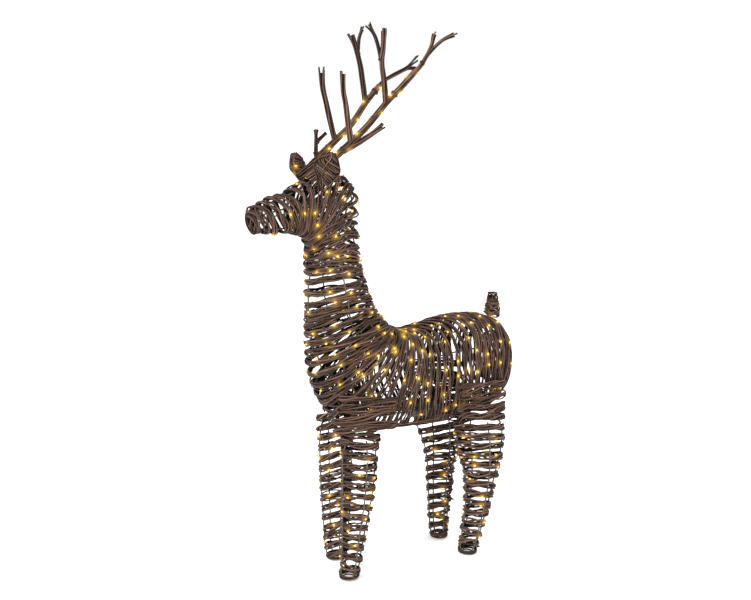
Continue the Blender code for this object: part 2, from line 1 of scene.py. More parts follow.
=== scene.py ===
"""The looks of the light-up yard reindeer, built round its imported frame.

Each winding is a bundle of twigs laid over the body's skin, and the skin's tables follow those of the CAD
part. Metres, +Z up. The nose points to -Y and the animal's left side is +X.
"""

import math

import bmesh
import bpy
import numpy as np
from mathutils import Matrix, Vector


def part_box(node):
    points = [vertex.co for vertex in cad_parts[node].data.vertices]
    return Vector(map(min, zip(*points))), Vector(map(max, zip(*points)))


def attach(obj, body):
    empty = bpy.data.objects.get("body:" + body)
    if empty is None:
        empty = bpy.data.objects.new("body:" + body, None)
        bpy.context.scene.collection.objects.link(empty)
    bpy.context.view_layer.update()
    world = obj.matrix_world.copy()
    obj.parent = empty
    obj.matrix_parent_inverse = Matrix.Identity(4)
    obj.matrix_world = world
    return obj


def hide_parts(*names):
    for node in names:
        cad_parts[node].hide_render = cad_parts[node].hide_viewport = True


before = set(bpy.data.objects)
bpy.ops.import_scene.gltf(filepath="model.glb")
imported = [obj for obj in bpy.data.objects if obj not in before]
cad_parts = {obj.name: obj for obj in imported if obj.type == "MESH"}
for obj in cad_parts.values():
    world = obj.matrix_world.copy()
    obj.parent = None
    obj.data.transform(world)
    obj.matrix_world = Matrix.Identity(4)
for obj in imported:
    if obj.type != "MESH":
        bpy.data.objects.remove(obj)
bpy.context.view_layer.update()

MM = 0.001
TAU = 2 * math.pi
X_WAY = np.array((1.0, 0.0, 0.0))
rng = np.random.default_rng(11)

# The body's skin, from the nose to the rump, in millimetres: lower y, lower z, upper y, upper z, half width.
# A station is a place along this table, counted in rows.
BODY = MM * np.array([
    (-314, 788, -311, 817, 13), (-304, 770, -296, 834, 28), (-272, 764, -263, 850, 37),
    (-232, 764, -220, 864, 42), (-201, 761, -181, 884, 46), (-186, 753, -144, 899, 49),
    (-181, 742, -111, 897, 50), (-179, 730, -86, 880, 50), (-178, 716, -70, 852, 50),
    (-178, 700, -67, 815, 50), (-178, 680, -67, 775, 50), (-178, 655, -66, 735, 51),
    (-178, 627, -59, 698, 54), (-178, 595, -50, 661, 58), (-178, 560, -38, 627, 64),
    (-178, 524, -24, 598, 72), (-175, 485, -6, 573, 81), (-168, 440, 14, 554, 89), (-151, 393, 33, 543, 95),
    (-118, 350, 52, 538, 100), (-73, 325, 73, 537, 103), (-28, 316, 96, 539, 104), (17, 313, 121, 543, 104),
    (62, 313, 148, 548, 104), (107, 314, 176, 551, 104), (152, 316, 204, 552, 103),
    (192, 321, 232, 550, 99), (237, 331, 264, 545, 94), (271, 350, 289, 528, 82), (293, 378, 301, 500, 62),
    (304, 412, 306, 464, 34),
])  # fmt: skip
BODY_SQUARENESS = 2.3

# Each leg, in millimetres: height, centre y, half length, half width.
LEGS = {
    "front_left": [(0, -112, 20.5, 21.5), (50, -107, 22, 24), (100, -103, 26, 27), (150, -98, 31.5, 30),
                   (200, -94, 36, 34), (260, -93, 38, 37), (330, -92, 41, 41)],
    "front_right": [(0, -90, 21.5, 21.5), (50, -92, 25, 24), (100, -89, 29, 27), (150, -88, 33, 31),
                    (200, -85, 37, 34), (260, -83, 39, 37), (330, -82, 41, 41)],
    "hind_left": [(0, 193, 19.5, 20.5), (50, 202, 24.5, 25), (100, 211.5, 28.5, 28), (150, 217.5, 33.5, 32),
                  (200, 220, 42, 36), (250, 216, 56, 40), (330, 210, 61, 44)],
    "hind_right": [(0, 182, 19.5, 20.5), (50, 182, 23.5, 24), (100, 185, 27.5, 27), (150, 188, 32, 31),
                   (200, 192, 38, 35), (250, 194, 52, 39), (330, 188, 80, 44)],
}  # fmt: skip
LEG_INSET, LEG_SPLAY, LEG_TOP = 0.056, 0.05, 0.322
# How steeply the rings of each leg rise towards the rump.
LEAN = {"front_left": -0.04, "front_right": 0.24, "hind_left": -0.04, "hind_right": 0.14}
# The top winding of each leg, in millimetres: x on the left side, and y.
HIND_ARCH = [(114.5, 122), (118, 150), (119, 180), (116, 212), (108, 243), (92, 268)]
ARCHES = {
    "front_left": [(66, -153), (95, -136), (113, -110), (119, -84), (118, -50), (114.5, -22)],
    "front_right": [(84, -106), (100, -98), (112, -86), (118, -66), (118, -45), (114.5, -22)],
    "hind_left": HIND_ARCH, "hind_right": HIND_ARCH,
}  # fmt: skip
ARCH_LOW, ARCH_HIGH = 0.346, 0.428

ANTLER_BASE = (27, -160, 899)
BEAMS = {
    "left": [(34, -129, 925), (39, -94, 954), (43, -58, 987), (48, -17, 1034), (54, 19, 1070),
             (63, 58, 1112)],
    "right": [(34, -129, 925), (39, -94, 952), (43, -54, 986), (48, -13, 1035), (53, 28, 1075)],
}  # fmt: skip
TINES = {
    "left": [
        [(63, 58, 1112), (70, 76, 1148), (76, 80, 1172), (81, 86, 1184)],
        [(63, 58, 1112), (67, 72, 1134), (80, 98, 1162), (92, 132, 1178)],
        [(36, -112, 936), (43, -80, 952), (54, -20, 992)],
        [(39, -94, 954), (48, -110, 1029), (52, -118, 1062), (56, -120, 1106)],
        [(48, -17, 1034), (57, -26, 1077), (64, -36, 1118), (70, -35, 1150), (76, -36, 1197)],
        [(64, -36, 1118), (70, -54, 1168), (74, -76, 1196)],
    ],
    "right": [
        [(53, 28, 1075), (58, 60, 1090), (66, 100, 1104), (73, 132, 1098)],
        [(53, 28, 1075), (56, 56, 1090), (60, 91, 1106), (66, 127, 1132)],
        [(33, -142, 922), (37, -139, 984)],
        [(34, -141, 950), (36, -112, 975)],
        [(39, -94, 954), (47, -109, 1026), (52, -116, 1066), (56, -116, 1113)],
        [(48, -17, 1034), (60, -21, 1098), (70, -31, 1153), (76, -42, 1184)],
        [(66, -26, 1130), (72, -20, 1168), (76, -5, 1196)],
    ],
}
EAR_BASE = (56, -164, 880)
EAR_TIPS = {"left": (72, -154, 936), "right": (74, -176, 926)}
EAR_SECTIONS = MM * np.array([(15, 9), (22, 12), (25, 12), (17, 9), (3, 3)])
TAIL_BASE, TAIL_TOP = (0, 286, 544), (0, 286, 592)
TAIL_SECTIONS = MM * np.array([(16, 15), (15, 14), (12, 11), (10, 9)])

STATION_STEP = 36 * MM  # the usual distance between stations
STRAND_R, WIRE_R, HOOP_R = 4.0 * MM, 1.7 * MM, 1.7 * MM
FRAME_LIFT = -(STRAND_R + WIRE_R + 3.2 * MM)
HOOP_LIFT = FRAME_LIFT - 1.2 * MM
WOVEN_LIFT = 0.9 * MM  # where twigs pass in front of a wire and behind it
TWIG_R = 1.95 * MM
LAMP_R, LAMP_HALF, LAMP_WIRE_R, LAMP_LIFT = 2.2 * MM, 3.0 * MM, 0.35 * MM, 4.0 * MM
LAMP_GAPS = {"head": 108 * MM, "neck": 58 * MM, "trunk": 55 * MM, "leg": 70 * MM, "antler": 30 * MM}
EYE, AZIMUTH, PITCH = (2.287, -1.193, 1.123), math.radians(62.79), math.radians(11.345)
VIEW_TURN = 0.173  # how far round from the front the camera stands, as a share of a turn
VIEW_RIGHT = np.array((0.457, 0.889, 0.0))  # to the right in the main view
EYE_AWAY = 2.5


# ---- the view, the floor and the lights


def add_camera():
    level = math.cos(PITCH)
    ahead = Vector((-math.sin(AZIMUTH) * level, math.cos(AZIMUTH) * level, -math.sin(PITCH)))
    data = bpy.data.cameras.new("camera")
    data.lens, data.sensor_width = 57.52, 36
    camera = bpy.data.objects.new("camera", data)
    camera.location = EYE
    camera.rotation_euler = ahead.to_track_quat("-Z", "Y").to_euler()
    bpy.context.scene.collection.objects.link(camera)
    bpy.context.scene.camera = camera


def add_light(name, place, aim, size, power, colour):
    data = bpy.data.lights.new(name, "AREA")
    data.shape, data.size, data.energy, data.color = "DISK", size, power, colour
    light = bpy.data.objects.new(name, data)
    light.location = place
    light.rotation_euler = (Vector(aim) - Vector(place)).to_track_quat("-Z", "Y").to_euler()
    bpy.context.scene.collection.objects.link(light)


def add_surroundings():
    scene = bpy.context.scene
    scene.view_settings.view_transform = "Standard"
    world = bpy.data.worlds.new("studio")
    world.use_nodes = True
    world.node_tree.nodes["Background"].inputs["Color"].default_value = (1.0, 1.0, 1.0, 1.0)
    world.node_tree.nodes["Background"].inputs["Strength"].default_value = 1.0
    scene.world = world
    middle = (0.0, 0.0, 0.6)
    add_light("key", (1.4, -2.6, 3.2), middle, 0.9, 190, (1.0, 0.97, 0.95))
    add_light("side", (3.2, 1.2, 1.8), middle, 1.4, 45, (0.98, 0.98, 1.0))


# ---- lines on surfaces


def side_of(name):
    """1 on the animal's left and -1 on its right."""
    return 1 if name.endswith("left") else -1


def unit(vectors):
    return vectors / np.maximum(np.linalg.norm(vectors, axis=-1, keepdims=True), 1e-12)


def lengths(point):
    """How far along a line each of its points is."""
    return np.concatenate([[0.0], np.cumsum(np.linalg.norm(np.diff(point, axis=0), axis=1))])


def joined(*lines):
    """Lines end to end. A line is its points and the way out at each."""
    return tuple(np.concatenate(parts) for parts in zip(*lines))


def between(rows, place):
    """A smooth curve through the rows of a table, read at the row numbers in place."""
    last = len(rows) - 1
    place = np.clip(np.atleast_1d(place), 0, last)
    index = np.minimum(place.astype(int), last - 1)
    part = (place - index)[:, None]
    a, b, c, d = (rows[np.clip(index + step, 0, last)] for step in (-1, 0, 1, 2))
    bend = (2 * a - 5 * b + 4 * c - d) * part**2 + (3 * b - a - 3 * c + d) * part**3
    return (2 * b + (c - a) * part + bend) / 2


def wander(count, knots, amount):
    """Smooth random values either side of zero."""
    values = rng.normal(0.0, amount, (max(int(knots), 1) + 3, 1))
    return between(values, np.linspace(1, len(values) - 2, count))[:, 0]


def squared(value):
    return np.sign(value) * np.abs(value) ** (2 / BODY_SQUARENESS)


def skin(station, turn, lift=0.0):
    """Points of the body's skin. Turn is 0 on top and 0.25 on the left flank."""
    low_y, low_z, high_y, high_z, half = between(BODY, station).T
    none = np.zeros_like(half)
    low, high = np.stack([none, low_y, low_z], 1), np.stack([none, high_y, high_z], 1)
    up = (high - low) / 2
    rise = (np.linalg.norm(up, axis=1) + lift) * squared(np.cos(TAU * turn))
    across = (half + lift) * squared(np.sin(TAU * turn))
    return (low + high) / 2 + unit(up) * rise[:, None] + X_WAY * across[:, None]


def leg_skin(name):
    """The surface of a leg. Turn is 0 in front and 0.25 on the outer side."""
    rows = MM * np.array(LEGS[name], float)
    side = side_of(name)

    def surface(height, turn, lift=0.0):
        place = np.interp(height, rows[:, 0], np.arange(len(rows)))
        _, middle, half_length, half_width = between(rows, place).T
        inset = LEG_INSET + LEG_SPLAY * np.minimum(height, 0.33)
        x = side * (inset + (half_width + lift) * np.sin(TAU * turn))
        return np.stack([x, middle - (half_length + lift) * np.cos(TAU * turn), height + 0 * x], 1)

    return surface


def cone(base, tip, sections, wide_way):
    """A tapering surface. The sections are rows of half the length and half the width."""
    base, tip = np.array(base, float), np.array(tip, float)
    along = unit(tip - base)
    wide = unit(wide_way - along * np.dot(along, wide_way))
    thick = np.cross(along, wide)

    def surface(share, turn, lift=0.0):
        half_length, half_width = between(sections, share * (len(sections) - 1)).T
        middle = base + (tip - base) * np.atleast_1d(share)[:, None]
        return (
            middle
            + wide * ((half_length + lift) * np.cos(TAU * turn))[:, None]
            + thick * ((half_width + lift) * np.sin(TAU * turn))[:, None]
        )

    return surface


def lay(surface, along, turn, lift=0.0):
    """A line on a surface, with the way out from the surface at each point."""
    point = surface(along, turn, lift)
    return point, unit(surface(along, turn, lift + 1 * MM) - point)


def even(point, normal, spacing):
    """The same line with its points evenly spaced, and the length up to each."""
    length = lengths(point)
    count = max(int(round(length[-1] / spacing)) + 1, 4)
    wanted = np.linspace(0, length[-1], count)
    point, normal = (
        np.stack([np.interp(wanted, length, values[:, k]) for k in range(3)], 1) for values in (point, normal)
    )
    return point, normal, wanted


def across_line(point, normal):
    """The two ways square to a line, the first near normal."""
    ahead = unit(np.gradient(point, axis=0))
    side = unit(np.cross(ahead, normal))
    return np.cross(side, ahead), side


def carried_normal(point):
    """A way square to a free line, carried along it without twisting."""
    ahead = unit(np.gradient(point, axis=0))
    current = unit(np.cross(ahead[0], (0.31, 0.87, 0.38)))
    found = []
    for way in ahead:
        current = unit(current - way * np.dot(current, way))
        found.append(current)
    return np.array(found)


def smooth_line(rows, spacing=6 * MM):
    """A free line through a few points, with its carried normal."""
    rows = np.asarray(rows, float)
    point = between(rows, np.linspace(0, len(rows) - 1, 24 * (len(rows) - 1) + 1))
    point, _, _ = even(point, point, spacing)
    return point, carried_normal(point)


# ---- meshes


class Tubes:
    """Twigs or wires gathered into one mesh. Each has its own tone, a grain that runs along it, and painted
    shade.
    """

    def __init__(self, sides=6):
        self.sides = sides
        self.points, self.grain, self.tone, self.shade, self.quads, self.caps = [], [], [], [], [], []
        self.count = 0

    def add(self, centre, normal, side, radius, tone=None, closed=False, outward=None):
        """A tube along centre, with painted shade on its side away from normal, and on its side away from
        outward, if given.
        """
        m, n = self.sides, len(centre)
        angle = TAU * np.arange(m) / m
        cosine, sine = np.cos(angle)[None, :], np.sin(angle)[None, :]
        ring = cosine[..., None] * normal[:, None, :] + sine[..., None] * side[:, None, :]
        radius = np.broadcast_to(radius, n)
        start = rng.uniform(0, 40)
        self.points.append((centre[:, None, :] + ring * radius[:, None, None]).reshape(-1, 3))
        grain = np.broadcast_arrays(lengths(centre)[:, None] + start, cosine, sine)
        self.grain.append(np.stack(grain, -1).reshape(-1, 3))
        self.tone.append(np.full(n * m, rng.uniform(0, 1) if tone is None else tone))
        # Painted shade, kept as a mesh value: the side of each tube away from normal, and the side facing
        # into the body, are darkened as if shaded by the twigs around them.
        shade = np.interp(cosine, (-0.5, 0.9), (0.0, 1.0)) * np.ones((n, 1))
        if outward is not None:
            shade = shade * np.interp((ring * outward[:, None, :]).sum(-1), (-0.4, 0.6), (0.45, 1.0))
        self.shade.append(shade.ravel())
        row, corner = np.arange(n if closed else n - 1)[:, None], np.arange(m)[None, :]
        first, after, beside = self.count + m * row, self.count + m * ((row + 1) % n), (corner + 1) % m
        quads = [first + corner, first + beside, after + beside, after + corner]
        self.quads.append(np.stack(quads, -1).reshape(-1, 4))
        if not closed:
            self.caps.append(self.count + np.arange(m)[::-1])
            self.caps.append(self.count + m * (n - 1) + np.arange(m))
        self.count += n * m

    def make(self, name, material, body, slot, replaces=(), glow=None):
        points = np.concatenate(self.points)
        quads = np.concatenate(self.quads)
        caps = np.array(self.caps, int).reshape(-1, self.sides)
        sizes = np.concatenate([np.full(len(quads), 4), np.full(len(caps), self.sides)])
        mesh = bpy.data.meshes.new(name)
        mesh.vertices.add(len(points))
        mesh.vertices.foreach_set("co", points.astype(np.float32).ravel())
        mesh.loops.add(int(sizes.sum()))
        mesh.loops.foreach_set("vertex_index", np.concatenate([quads.ravel(), caps.ravel()]).astype(np.int32))
        mesh.polygons.add(len(sizes))
        mesh.polygons.foreach_set("loop_start", (np.cumsum(sizes) - sizes).astype(np.int32))
        mesh.polygons.foreach_set("use_smooth", np.arange(len(sizes)) < len(quads))
        mesh.update(calc_edges=True)
        mesh.validate()
        values = {"tone": np.concatenate(self.tone), "shade": np.concatenate(self.shade)}
        # Painted lamp light: how near each point lies to the lamps, which the material turns into a warm
        # emission.
        if glow is not None:
            values["glow"] = painted_lamp_light_at(points, glow)
        for key, value in values.items():
            mesh.attributes.new(key, "FLOAT", "POINT").data.foreach_set("value", value.astype(np.float32))
        grain = mesh.attributes.new("grain", "FLOAT_VECTOR", "POINT")
        grain.data.foreach_set("vector", np.concatenate(self.grain).astype(np.float32).ravel())
        piece = bpy.data.objects.new(name, mesh)
        mesh.materials.append(material)
        bpy.context.scene.collection.objects.link(piece)
        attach(piece, body)
        if replaces:
            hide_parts(*replaces)


def painted_lamp_light_at(points, lamps, reach=8.5 * MM):
    """How much painted lamp light each point gets: 1 beside a lamp, and nothing a few reaches away."""
    total = np.zeros(len(points))
    block = 20000  # points at a time, to save memory
    for start in range(0, len(points), block):
        part = points[start : start + block]
        distance = ((part[:, None, :] - lamps[None, :, :]) ** 2).sum(-1)
        total[start : start + block] = np.exp(-distance / reach**2).sum(1)
    return np.minimum(total, 1.5)


def bundle(
    tubes, point, normal, twigs=4, radius=TWIG_R, flat=2.1, twist=0.17, spacing=8 * MM, loose=1.4 * MM
):
    """Loosely twisted twigs along a line.

    Flat is how much wider the bundle is along the surface than it is thick, twist is the length of one of its
    turns, and loose is how far a twig strays.
    """
    point, normal, length = even(point, normal, spacing)
    normal, side = across_line(point, normal)
    count, knots = len(point), length[-1] / 0.05
    first = rng.uniform(0, 1)
    way = rng.choice((-1, 1))
    tones = (rng.permutation(twigs) + rng.uniform(0, 1, twigs)) / twigs
    for twig in range(twigs):
        thick = radius * rng.uniform(0.82, 1.14)
        turn = TAU * (first + twig / twigs + way * length / twist) + wander(count, knots, 0.35)
        out = 0.8 * thick * np.cos(turn) + wander(count, knots, 0.4 * loose)
        across = flat * radius * np.sin(turn) + wander(count, knots, loose)
        centre = point + normal * out[:, None] + side * across[:, None]
        # The way in which each twig's painted shade is lightest: mostly out of the bundle and out of the
        # body.
        facing = unit(normal * (1.3 + np.cos(turn))[:, None] + side * (1.5 * np.sin(turn))[:, None])
        facing, beside = across_line(centre, facing)
        radii = thick * (1 + wander(count, knots, 0.05))
        tubes.add(centre, facing, beside, radii, tones[twig], outward=normal)


def loose_end(tubes, surface, along, turn, way_along, way_turn, length, sink=0.0):
    """A cut twig end that stands off a winding. Sink is how far the winding lies inside the surface."""
    share = np.linspace(0, 1, 7)
    lift = 1 * MM + share**2 * 6 * MM - sink
    point, normal = lay(surface, along + way_along * share, turn + way_turn * share, lift)
    scale = length / max(np.linalg.norm(point[-1] - point[0]), 1e-6)
    point = point[0] + (point - point[0]) * scale
    normal, side = across_line(point, normal)
    tubes.add(point, normal, side, TWIG_R * rng.uniform(0.85, 1.1))


# ---- materials


def new_material(name):
    """A material, its node tree and its shader."""
    material = bpy.data.materials.new(name)
    material.use_nodes = True
    return material, material.node_tree, material.node_tree.nodes["Principled BSDF"]


def node(tree, kind, vector=None, **values):
    """A new node. Each value is that of an input, or else of a property."""
    made = tree.nodes.new(kind)
    for key, value in values.items():
        if key in made.inputs:
            made.inputs[key].default_value = value
        else:
            setattr(made, key, value)
    if vector is not None:
        tree.links.new(vector, made.inputs["Vector"])
    return made


def ramp(tree, value, stops, interpolation="LINEAR"):
    """The colour for each value of an output. One number stands for a grey."""
    made = tree.nodes.new("ShaderNodeValToRGB")
    made.color_ramp.interpolation = interpolation
    while len(made.color_ramp.elements) < len(stops):
        made.color_ramp.elements.new(0.5)
    for element, (place, colour) in zip(made.color_ramp.elements, stops):
        element.position = place
        element.color = (*(colour if isinstance(colour, tuple) else (colour,) * 3), 1.0)
    tree.links.new(value, made.inputs["Fac"])
    return made.outputs["Color"]


def mix(tree, kind, share, first, second):
    """Mixes two colour outputs. Share is a number or an output."""
    made = node(tree, "ShaderNodeMix", data_type="RGBA", blend_type=kind)
    for index, value in ((0, share), (6, first), (7, second)):
        if hasattr(value, "links"):
            tree.links.new(value, made.inputs[index])
        else:
            made.inputs[index].default_value = value
    return made.outputs[2]


def add_bump(tree, shader, height, strength, distance):
    bump = node(tree, "ShaderNodeBump", Strength=strength, Distance=distance)
    tree.links.new(height, bump.inputs["Height"])
    tree.links.new(bump.outputs["Normal"], shader.inputs["Normal"])


def twig_material():
    """Brown bark with long streaks, dark nodes, a tone for each twig, painted shade, and painted warm lamp
    light beside a lamp.
    """
    material, tree, shader = new_material("twig_bark")
    grain, tone, glow, shade = (
        node(tree, "ShaderNodeAttribute", attribute_name=key).outputs["Vector" if key == "grain" else "Fac"]
        for key in ("grain", "tone", "glow", "shade")
    )

    def grain_noise(scale, detail):
        stretch = node(tree, "ShaderNodeVectorMath", operation="MULTIPLY")
        stretch.inputs[1].default_value = scale
        tree.links.new(grain, stretch.inputs[0])
        noise = node(tree, "ShaderNodeTexNoise", stretch.outputs[0], Scale=1.0, Detail=detail, Roughness=0.6)
        return noise.outputs["Fac"]

    streaks = grain_noise((24, 1.5, 1.5), 4.0)
    fibres = grain_noise((70, 5.0, 5.0), 3.0)
    patches = grain_noise((9, 0.2, 0.2), 2.0)
    brown = ramp(tree, streaks, [
        (0.30, (0.038, 0.019, 0.012)), (0.47, (0.124, 0.067, 0.044)), (0.62, (0.225, 0.133, 0.096)),
        (0.80, (0.38, 0.25, 0.19)),
    ])
    grey = ramp(tree, streaks, [
        (0.32, (0.007, 0.004, 0.002)), (0.50, (0.027, 0.014, 0.009)), (0.75, (0.080, 0.044, 0.030)),
    ])
    colour = mix(tree, "MIX", tone, brown, grey)
    for tint in (
        ramp(tree, fibres, [(0.35, (0.62, 0.60, 0.60)), (0.65, (1.18, 1.16, 1.15))]),
        ramp(tree, patches, [(0.36, (0.45, 0.42, 0.42)), (0.44, 1.0)]),
        # Painted shade: the twigs turn dark brown on their sides that face their neighbours and the body.
        ramp(tree, shade, [(0.0, (0.06, 0.036, 0.020)), (0.5, (0.36, 0.29, 0.25)), (1.0, 1.0)]),
    ):
        colour = mix(tree, "MULTIPLY", 1.0, colour, tint)
    tree.links.new(colour, shader.inputs["Base Color"])
    # Painted lamp light: a warm emission on the twigs near each lamp, standing in for the lamps' light
    # falling on them.
    warm = ramp(tree, glow, [(0.05, 0.0), (0.45, (0.13, 0.068, 0.007)), (1.0, (0.66, 0.37, 0.045))])
    tree.links.new(warm, shader.inputs["Emission Color"])
    shader.inputs["Emission Strength"].default_value = 1.0
    tree.links.new(ramp(tree, streaks, [(0.3, 0.75), (0.7, 0.48)]), shader.inputs["Roughness"])
    shader.inputs["Specular IOR Level"].default_value = 0.2
    add_bump(tree, shader, fibres, 0.5, 0.4 * MM)
    return material


def worn_material(name, colour, worn, metallic, roughness, scale, glow=None):
    """Metal or plastic with specks of wear, in object space."""
    material, tree, shader = new_material(name)
    place = node(tree, "ShaderNodeTexCoord").outputs["Object"]
    broad = node(tree, "ShaderNodeTexNoise", place, Scale=scale, Detail=5.0, Roughness=0.65).outputs["Fac"]
    fine = node(tree, "ShaderNodeTexNoise", place, Scale=scale * 9, Detail=2.0).outputs["Fac"]
    lighter = tuple(1.15 * part for part in colour)
    shade = ramp(tree, broad, [(0.35, colour), (0.56, lighter), (0.70, worn)])
    tree.links.new(shade, shader.inputs["Base Color"])
    gloss = ramp(tree, fine, [(0.3, max(roughness - 0.1, 0.05)), (0.7, min(roughness + 0.15, 1.0))])
    tree.links.new(gloss, shader.inputs["Roughness"])
    shader.inputs["Metallic"].default_value = metallic
    add_bump(tree, shader, fine, 0.15, 0.2 * MM)
    if glow:
        bright = ramp(tree, fine, [(0.35, tuple(0.85 * part for part in glow)), (0.65, glow)])
        tree.links.new(bright, shader.inputs["Emission Color"])
        shader.inputs["Emission Strength"].default_value = 1.05
    return material


TWIG = twig_material()
WIRE = worn_material("frame_wire", (0.07, 0.062, 0.046), (0.085, 0.055, 0.03), 0.3, 0.5, 60)
LAMP_WIRE = worn_material("lamp_wire", (0.13, 0.12, 0.10), (0.08, 0.07, 0.055), 0.6, 0.45, 80)
LAMP = worn_material(
    "lamp_resin", (0.45, 0.24, 0.04), (0.55, 0.32, 0.08), 0.0, 0.25, 400, glow=(0.95, 0.52, 0.07)
)


def cell_material(cell):
    """A cell's printed sleeve, with a dark band at one end and bare metal at both."""
    material, tree, shader = new_material("cell_sleeve")
    place = node(tree, "ShaderNodeTexCoord").outputs["Object"]
    parts = node(tree, "ShaderNodeSeparateXYZ", place)
    low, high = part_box(cell)
    along = node(tree, "ShaderNodeMapRange", **{"From Min": low[1], "From Max": high[1]})
    tree.links.new(parts.outputs["Y"], along.inputs["Value"])
    bare, dark, sleeve = (0.50, 0.50, 0.48), (0.03, 0.03, 0.035), (0.46, 0.27, 0.08)
    stops = [(0.0, bare), (0.03, dark), (0.32, sleeve), (0.95, bare)]
    bands = ramp(tree, along.outputs["Result"], stops, "CONSTANT")
    scuffs = node(tree, "ShaderNodeTexNoise", place, Scale=260.0, Detail=4.0).outputs["Fac"]
    colour = mix(tree, "MULTIPLY", 1.0, bands, ramp(tree, scuffs, [(0.35, 0.70), (0.6, 1.0)]))
    tree.links.new(colour, shader.inputs["Base Color"])
    tree.links.new(ramp(tree, scuffs, [(0.3, 0.22), (0.7, 0.42)]), shader.inputs["Roughness"])
    shader.inputs["Metallic"].default_value = 0.4
    return material


def board_material():
    """Green solder mask over copper tracks, with bare pads."""
    material, tree, shader = new_material("circuit_board")
    place = node(tree, "ShaderNodeTexCoord").outputs["Object"]
    tracks = node(tree, "ShaderNodeTexBrick", place, Scale=1.0, **{
        "Color1": (0.010, 0.075, 0.030, 1), "Color2": (0.012, 0.090, 0.035, 1),
        "Mortar": (0.03, 0.17, 0.07, 1), "Mortar Size": 0.0003, "Brick Width": 0.0045, "Row Height": 0.0022,
    })  # fmt: skip
    pads = node(tree, "ShaderNodeTexVoronoi", place, Scale=420.0).outputs["Distance"]
    shine = ramp(tree, pads, [(0.10, (0.62, 0.60, 0.52)), (0.14, 0.0)])
    tree.links.new(mix(tree, "LIGHTEN", 1.0, tracks.outputs["Color"], shine), shader.inputs["Base Color"])
    tree.links.new(ramp(tree, pads, [(0.10, 0.25), (0.14, 0.45)]), shader.inputs["Roughness"])
    return material


def finish_cad_nodes():
    """Materials for the CAD nodes that stay in the picture, and small bevels on the moulded ones."""
    steel = worn_material("zinc_steel", (0.44, 0.44, 0.42), (0.25, 0.22, 0.18), 1.0, 0.35, 120)
    paint = worn_material("socket_paint", (0.055, 0.045, 0.034), (0.11, 0.08, 0.055), 0.4, 0.5, 90)
    plastic = worn_material("case_plastic", (0.022, 0.021, 0.020), (0.035, 0.033, 0.031), 0.0, 0.5, 70)
    grey = worn_material("button_plastic", (0.16, 0.165, 0.17), (0.11, 0.115, 0.12), 0.0, 0.4, 150)
    rubber = worn_material("lead_rubber", (0.012, 0.012, 0.012), (0.03, 0.03, 0.03), 0.0, 0.65, 200)
    cell, board = cell_material("battery_cell_1"), board_material()
    finishes = {
        steel: ("contact_plate_front", "contact_plate_rear", "bracket_screw_left", "bracket_screw_right",
                "lid_hinge_pin"),
        paint: ("antler_socket_left", "antler_socket_right", "antler_spigot_left", "antler_spigot_right",
                "battery_bracket"),
        plastic: ("battery_case", "battery_lid", "lead_connector", "lead_gland"),
        grey: ("timer_button",),
        rubber: ("battery_lead",),
        cell: ("battery_cell_1", "battery_cell_2", "battery_cell_3"),
        board: ("control_board",),
    }
    for material, names in finishes.items():
        for name in names:
            mesh = bpy.data.objects[name].data
            mesh.materials.clear()
            mesh.materials.append(material)
    moulded = (
        "battery_case", "battery_lid", "timer_button", "control_board", "battery_bracket", "lead_connector",
    )  # fmt: skip
    for name in moulded:
        bevel = bpy.data.objects[name].modifiers.new("edges", "BEVEL")
        bevel.width, bevel.segments, bevel.limit_method = 0.35 * MM, 2, "ANGLE"
        bevel.angle_limit = math.radians(40)


# ---- windings of the body

# Turns of the winding for each station, at a few stations.
DENSITY = np.array([
    (0.0, 1.6), (1.0, 1.9), (3.0, 2.0), (4.0, 2.3), (6.0, 2.1), (8.0, 1.9), (10.0, 2.0), (11.3, 1.8),
    (12.0, 1.45), (13.6, 1.45), (14.6, 1.9), (16.0, 2.3), (18.0, 2.7), (20.0, 2.8), (22.0, 2.5),
    (24.0, 2.5), (28.0, 2.4), (30.0, 2.4),
])  # fmt: skip
GRID = np.linspace(0, 30, 3001)
TURNS = np.concatenate([[0], np.cumsum(np.interp((GRID[1:] + GRID[:-1]) / 2, *DENSITY.T) * np.diff(GRID))])

# How far the top of a ring lies behind its station, and its bottom ahead of it, at a few stations.
SLANT = np.array([
    (0.0, -0.45), (3.0, -0.6), (4.0, -0.35), (5.3, 0.5), (6.0, 1.0), (6.7, 1.3), (8.0, 1.95), (9.5, 1.6),
    (11.0, 1.2), (12.0, 0.93), (13.0, 0.7), (15.0, 0.65), (16.0, 0.43), (17.0, 0.1), (18.0, -0.25),
    (19.0, -0.75), (20.0, -1.25), (21.0, -1.6), (22.0, -1.45), (23.0, -1.25), (24.0, -1.0), (25.0, -0.8),
    (26.0, -0.65), (27.0, -0.5), (28.0, -0.4), (30.0, 0.0),
])  # fmt: skip
# How far the windings lie inside the skin, in millimetres: station, on top, at the sides, below.
SLIM = np.array([
    (0, 9, 7, 9), (3, 9, 7, 5), (5, 9, 7, 5), (9, 0, 0, 5), (10, 2, 1, 2), (15, 3, 1, 0), (17.5, 9, 2, 2),
    (20, 6, 1, 6), (22, 0, 1, 6), (26, -1, 1, 6), (28, 0, 3, 5), (30, 6, 6, 6),
])  # fmt: skip


